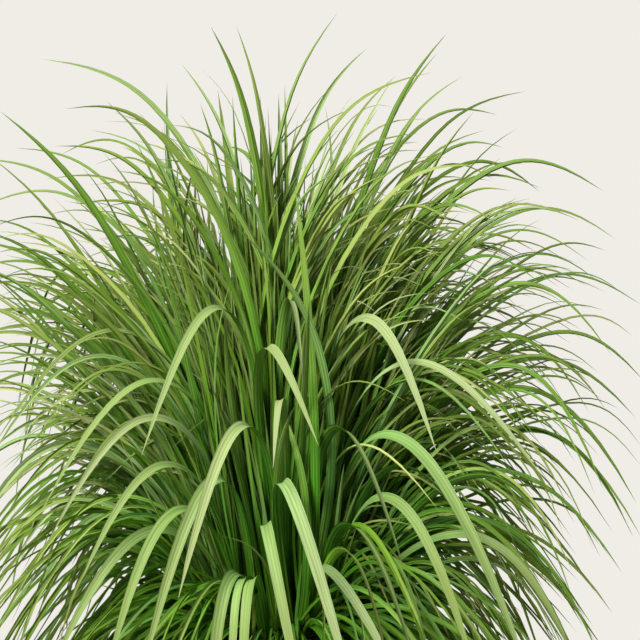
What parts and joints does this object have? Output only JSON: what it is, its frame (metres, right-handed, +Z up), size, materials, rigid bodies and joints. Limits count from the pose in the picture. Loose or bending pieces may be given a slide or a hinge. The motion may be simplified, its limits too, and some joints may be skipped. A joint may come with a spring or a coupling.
{
  "type": "potted ornamental grass",
  "caption": "Dense clump of long narrow arching grass leaves in a plain round tapered pot filled with soil.",
  "frame": {"origin": "centre of the pot's flat underside", "axes": "+Z up, -Y the side that the picture shows, +X to the right there"},
  "size_m": [0.7151, 0.5694, 0.926],
  "materials": {
    "pot": "matt, fine grained",
    "soil": "loose crumbly compost",
    "leaf": "satin leaf with lengthwise veins"
  },
  "bodies": {
    "root": {"pot": "pot", "soil": "soil", "tuft_01": "leaf", "tuft_02": "leaf", "tuft_03": "leaf", "tuft_04": "leaf", "tuft_05": "leaf", "tuft_06": "leaf", "tuft_07": "leaf", "tuft_08": "leaf", "tuft_09": "leaf", "tuft_10": "leaf", "tuft_11": "leaf", "tuft_12": "leaf", "tuft_13": "leaf", "tuft_14": "leaf", "tuft_15": "leaf", "tuft_16": "leaf", "tuft_17": "leaf", "tuft_18": "leaf", "tuft_19": "leaf", "tuft_20": "leaf", "tuft_21": "leaf", "tuft_22": "leaf", "tuft_23": "leaf", "tuft_24": "leaf", "tuft_25": "leaf", "tuft_26": "leaf", "tuft_27": "leaf", "tuft_28": "leaf", "tuft_29": "leaf", "tuft_30": "leaf", "tuft_31": "leaf", "tuft_32": "leaf", "tuft_33": "leaf", "tuft_34": "leaf", "tuft_35": "leaf", "tuft_36": "leaf", "tuft_37": "leaf", "tuft_38": "leaf", "tuft_39": "leaf", "tuft_40": "leaf", "tuft_41": "leaf", "tuft_42": "leaf", "tuft_43": "leaf", "tuft_44": "leaf", "tuft_45": "leaf", "tuft_46": "leaf", "tuft_47": "leaf", "tuft_48": "leaf", "tuft_49": "leaf", "tuft_50": "leaf", "tuft_51": "leaf", "tuft_52": "leaf", "tuft_53": "leaf", "tuft_54": "leaf"}
  },
  "joints": []
}
